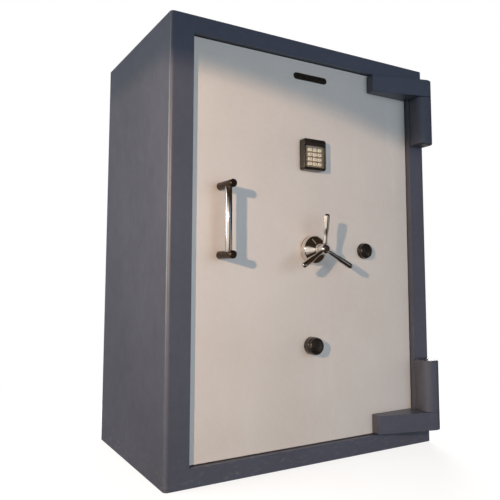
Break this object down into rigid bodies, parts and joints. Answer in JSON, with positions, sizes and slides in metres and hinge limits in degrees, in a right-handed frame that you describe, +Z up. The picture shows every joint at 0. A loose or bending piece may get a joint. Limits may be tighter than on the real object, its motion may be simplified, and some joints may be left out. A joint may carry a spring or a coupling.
{
  "type": "gun safe",
  "caption": "Tall steel gun safe with crane hinges, recessed pale door, keypad, three-spoke handle, pull handle, key locks, rack-driven bolts and a carpeted rack interior.",
  "frame": {"origin": "centre of the body footprint on the floor, at mount base; the crane hinges and handles stand in front of the body, so it is not the centre of the whole box", "axes": "+Z up, +Y into the safe from its front, +X to the right of a person facing the door"},
  "size_m": [1.143, 0.7703, 1.524],
  "materials": {
    "body_paint": "satin",
    "door_paint": "satin",
    "chrome": "polished",
    "dark_bronze": "dark patinated",
    "black_metal": "gloss",
    "champagne": "satin metallic",
    "key_cream": "matt",
    "barrier": "rough",
    "bare_steel": "satin",
    "zinc": "satin",
    "carpet": "matt",
    "seal": "matt"
  },
  "bodies": {
    "body": {"outer_shell": "body_paint", "composite_fill": "barrier", "front_frame": "body_paint", "inner_liner": "bare_steel", "door_seal": "seal", "carpet_lining": "carpet", "divider_panel": "carpet", "top_shelf": "carpet", "side_shelf": "carpet", "barrel_rack": "carpet", "butt_rest": "carpet", "hinge_leg_top": "body_paint", "hinge_leg_bottom": "body_paint", "hinge_pin_top": "bare_steel", "hinge_pin_bottom": "bare_steel"},
    "door": {"door_plate": "door_paint", "door_core": "barrier", "boltwork_pan": "zinc", "door_back_cover": "carpet", "hinge_arm_top": "body_paint", "hinge_arm_bottom": "body_paint", "electronic_lock": "black_metal", "key_lock_right": "zinc", "key_lock_lower": "zinc", "key_escutcheon_right": "black_metal", "key_escutcheon_lower": "black_metal", "pull_post_lower": "dark_bronze", "pull_post_upper": "dark_bronze", "pull_bar": "chrome", "badge_plate": "black_metal", "keypad_housing": "champagne"},
    "handle": {"handle_hub": "chrome", "drive_spindle": "bare_steel", "spoke_up": "chrome", "spoke_right": "chrome", "spoke_left": "chrome"},
    "bolts_left": {"bolt_bar_left": "zinc", "locking_bolt_left_1": "chrome", "locking_bolt_left_2": "chrome", "locking_bolt_left_3": "chrome"},
    "bolts_right": {"bolt_bar_right": "zinc", "locking_bolt_right_1": "chrome", "locking_bolt_right_2": "chrome", "locking_bolt_right_3": "chrome"},
    "bolt_top": {"bolt_rod_top": "chrome"},
    "bolt_bottom": {"bolt_rod_bottom": "chrome"},
    "cover_right": {"key_cover_right": "black_metal"},
    "cover_lower": {"key_cover_lower": "black_metal"},
    "button_01": {"key_01": "key_cream"},
    "button_02": {"key_02": "key_cream"},
    "button_03": {"key_03": "key_cream"},
    "button_04": {"key_04": "key_cream"},
    "button_05": {"key_05": "key_cream"},
    "button_06": {"key_06": "key_cream"},
    "button_07": {"key_07": "key_cream"},
    "button_08": {"key_08": "key_cream"},
    "button_09": {"key_09": "key_cream"},
    "button_10": {"key_10": "key_cream"},
    "button_11": {"key_11": "key_cream"},
    "button_12": {"key_12": "key_cream"}
  },
  "joints": [
    {"name": "door_swing", "type": "hinge", "parent": "body", "child": "door", "pos_m": [0.5205, -0.384, 0.762], "axis": [0, 0, 1], "range_deg": [0, 180]},
    {"name": "handle_turn", "type": "hinge", "parent": "door", "child": "handle", "pos_m": [0, -0.323, 0.753], "axis": [0, -1, 0], "range_deg": [0, 90]},
    {"name": "left_bolts_throw", "type": "slide", "parent": "door", "child": "bolts_left", "axis": [-1, 0, 0], "range_m": [0, 0.0283]},
    {"name": "right_bolts_throw", "type": "slide", "parent": "door", "child": "bolts_right", "axis": [1, 0, 0], "range_m": [0, 0.0283]},
    {"name": "top_bolt_throw", "type": "slide", "parent": "door", "child": "bolt_top", "axis": [0, 0, 1], "range_m": [0, 0.0283]},
    {"name": "bottom_bolt_throw", "type": "slide", "parent": "door", "child": "bolt_bottom", "axis": [0, 0, -1], "range_m": [0, 0.0283]},
    {"name": "cover_right_swing", "type": "hinge", "parent": "door", "child": "cover_right", "pos_m": [0.247, -0.335, 0.777], "axis": [0, -1, 0], "range_deg": [-110, 110]},
    {"name": "cover_lower_swing", "type": "hinge", "parent": "door", "child": "cover_lower", "pos_m": [-0.005, -0.351, 0.4315], "axis": [0, -1, 0], "range_deg": [-110, 110]},
    {"name": "key_01_press", "type": "slide", "parent": "door", "child": "button_01", "axis": [0, 1, 0], "range_m": [0, 0.0015], "stiffness_N_per_m": 400},
    {"name": "key_02_press", "type": "slide", "parent": "door", "child": "button_02", "axis": [0, 1, 0], "range_m": [0, 0.0015], "stiffness_N_per_m": 400},
    {"name": "key_03_press", "type": "slide", "parent": "door", "child": "button_03", "axis": [0, 1, 0], "range_m": [0, 0.0015], "stiffness_N_per_m": 400},
    {"name": "key_04_press", "type": "slide", "parent": "door", "child": "button_04", "axis": [0, 1, 0], "range_m": [0, 0.0015], "stiffness_N_per_m": 400},
    {"name": "key_05_press", "type": "slide", "parent": "door", "child": "button_05", "axis": [0, 1, 0], "range_m": [0, 0.0015], "stiffness_N_per_m": 400},
    {"name": "key_06_press", "type": "slide", "parent": "door", "child": "button_06", "axis": [0, 1, 0], "range_m": [0, 0.0015], "stiffness_N_per_m": 400},
    {"name": "key_07_press", "type": "slide", "parent": "door", "child": "button_07", "axis": [0, 1, 0], "range_m": [0, 0.0015], "stiffness_N_per_m": 400},
    {"name": "key_08_press", "type": "slide", "parent": "door", "child": "button_08", "axis": [0, 1, 0], "range_m": [0, 0.0015], "stiffness_N_per_m": 400},
    {"name": "key_09_press", "type": "slide", "parent": "door", "child": "button_09", "axis": [0, 1, 0], "range_m": [0, 0.0015], "stiffness_N_per_m": 400},
    {"name": "key_10_press", "type": "slide", "parent": "door", "child": "button_10", "axis": [0, 1, 0], "range_m": [0, 0.0015], "stiffness_N_per_m": 400},
    {"name": "key_11_press", "type": "slide", "parent": "door", "child": "button_11", "axis": [0, 1, 0], "range_m": [0, 0.0015], "stiffness_N_per_m": 400},
    {"name": "key_12_press", "type": "slide", "parent": "door", "child": "button_12", "axis": [0, 1, 0], "range_m": [0, 0.0015], "stiffness_N_per_m": 400}
  ],
  "couplings": [
    {"joint": "left_bolts_throw", "follows": "handle_turn", "m_per_rad": 0.018},
    {"joint": "right_bolts_throw", "follows": "handle_turn", "m_per_rad": 0.018},
    {"joint": "top_bolt_throw", "follows": "handle_turn", "m_per_rad": 0.018},
    {"joint": "bottom_bolt_throw", "follows": "handle_turn", "m_per_rad": 0.018}
  ]
}
